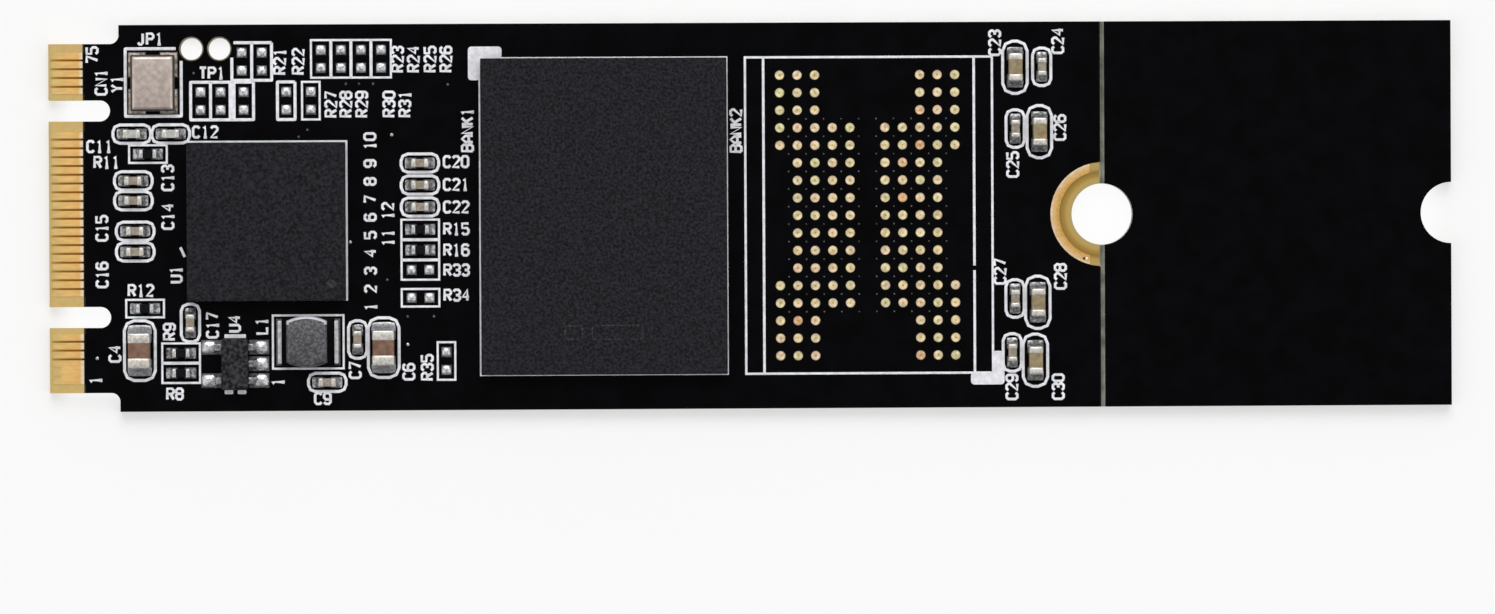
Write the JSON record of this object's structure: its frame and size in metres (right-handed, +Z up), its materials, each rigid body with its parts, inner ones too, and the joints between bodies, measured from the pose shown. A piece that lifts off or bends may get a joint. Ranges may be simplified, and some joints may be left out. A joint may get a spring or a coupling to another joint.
{
  "type": "gumstick solid state drive",
  "caption": "Thin gumstick solid state drive card with a notched edge connector, a memory package, an empty site beside it, a controller and a snap-off tail at a score line.",
  "frame": {"origin": "centre of the card's underside: the middle of the bounding box's lower face", "axes": "+X along the card from the edge connector to the notched end, +Y across the card, +Z up out of the component side"},
  "size_m": [0.08, 0.022, 0.0021],
  "materials": {
    "laminate": "matte",
    "solder_mask": "semi-gloss",
    "contact_gold": "plated",
    "land_gold": "plated",
    "tinned_copper": "satin",
    "solder": "satin",
    "end_plating": "satin",
    "legend_ink": "matte",
    "mould_compound": "matte",
    "package_substrate": "satin",
    "crystal_ceramic": "matte",
    "lid_metal": "satin",
    "ferrite": "matte",
    "enamelled_wire": "enamelled",
    "capacitor_ceramic": "matte",
    "resistor_glaze": "gloss"
  },
  "bodies": {
    "root": {"board_laminate": "laminate", "solder_mask_top": "solder_mask", "solder_mask_bottom": "solder_mask", "edge_contacts_top": "contact_gold", "edge_contacts_bottom": "contact_gold", "screw_ground_pad_top": "land_gold", "screw_ground_pad_bottom": "land_gold", "flash_land_pads": "land_gold", "jumper_hole_sleeves": "tinned_copper", "component_land_pads": "tinned_copper", "spare_component_pads": "tinned_copper", "inductor_terminals": "tinned_copper", "regulator_leads": "tinned_copper", "controller_solder_balls": "solder", "flash_solder_balls": "solder", "solder_fillets": "solder", "capacitor_end_caps": "end_plating", "resistor_end_caps": "end_plating", "legend_print": "legend_ink", "controller_mould_cap": "mould_compound", "flash_mould_cap": "mould_compound", "regulator_body": "mould_compound", "controller_substrate": "package_substrate", "flash_substrate": "package_substrate", "crystal_base": "crystal_ceramic", "crystal_lid": "lid_metal", "inductor_core": "ferrite", "inductor_winding": "enamelled_wire", "crystal_capacitor_left": "capacitor_ceramic", "crystal_capacitor_right": "capacitor_ceramic", "core_capacitor_1": "capacitor_ceramic", "core_capacitor_2": "capacitor_ceramic", "core_capacitor_3": "capacitor_ceramic", "core_capacitor_4": "capacitor_ceramic", "reset_capacitor": "capacitor_ceramic", "filter_capacitor": "capacitor_ceramic", "feedback_capacitor": "capacitor_ceramic", "bus_capacitor_1": "capacitor_ceramic", "bus_capacitor_2": "capacitor_ceramic", "bus_capacitor_3": "capacitor_ceramic", "memory_bypass_1": "capacitor_ceramic", "memory_bypass_2": "capacitor_ceramic", "memory_bypass_3": "capacitor_ceramic", "memory_bypass_4": "capacitor_ceramic", "memory_reservoir_1": "capacitor_ceramic", "memory_reservoir_2": "capacitor_ceramic", "memory_reservoir_3": "capacitor_ceramic", "memory_reservoir_4": "capacitor_ceramic", "input_capacitor": "capacitor_ceramic", "output_capacitor": "capacitor_ceramic", "crystal_resistor": "resistor_glaze", "reset_resistor": "resistor_glaze", "feedback_resistor_1": "resistor_glaze", "feedback_resistor_2": "resistor_glaze", "strap_resistor_1": "resistor_glaze", "strap_resistor_2": "resistor_glaze"}
  },
  "joints": []
}
